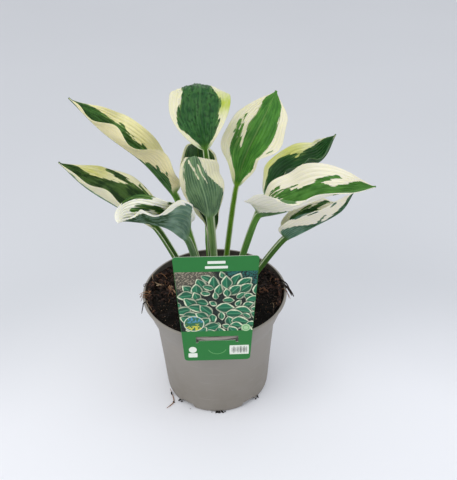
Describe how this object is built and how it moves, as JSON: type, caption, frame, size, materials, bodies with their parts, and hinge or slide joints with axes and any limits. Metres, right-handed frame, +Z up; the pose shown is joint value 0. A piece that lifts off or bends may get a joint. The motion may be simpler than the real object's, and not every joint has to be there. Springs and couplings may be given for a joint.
{
  "type": "potted hosta plant",
  "caption": "Young variegated hosta with folded, cream-edged leaves on channelled stalks, growing in a round moulded nursery pot with a blank hanging card.",
  "frame": {"origin": "middle of the pot's underside, on the surface that the pot stands on", "axes": "+Z up, -Y to the front where the card hangs, +X to the right seen from the front"},
  "size_m": [0.3132, 0.202, 0.3698],
  "materials": {
    "pot": "matt moulded polypropylene, warm grey",
    "growing_medium": "moist peat and bark, crumbly",
    "plant_label": "printed polypropylene sheet, satin",
    "leaf": "living leaf, satin above and waxy below, green with cream margins"
  },
  "bodies": {
    "root": {"pot": "pot", "growing_medium": "growing_medium", "plant_label": "plant_label", "leaf_left_upper": "leaf", "leaf_left_lower": "leaf", "leaf_front_left": "leaf", "leaf_back_centre": "leaf", "leaf_front_centre": "leaf", "leaf_back_right": "leaf", "leaf_right_upper": "leaf", "leaf_right_front": "leaf", "leaf_right_lower": "leaf", "leaf_inner": "leaf"}
  },
  "joints": []
}
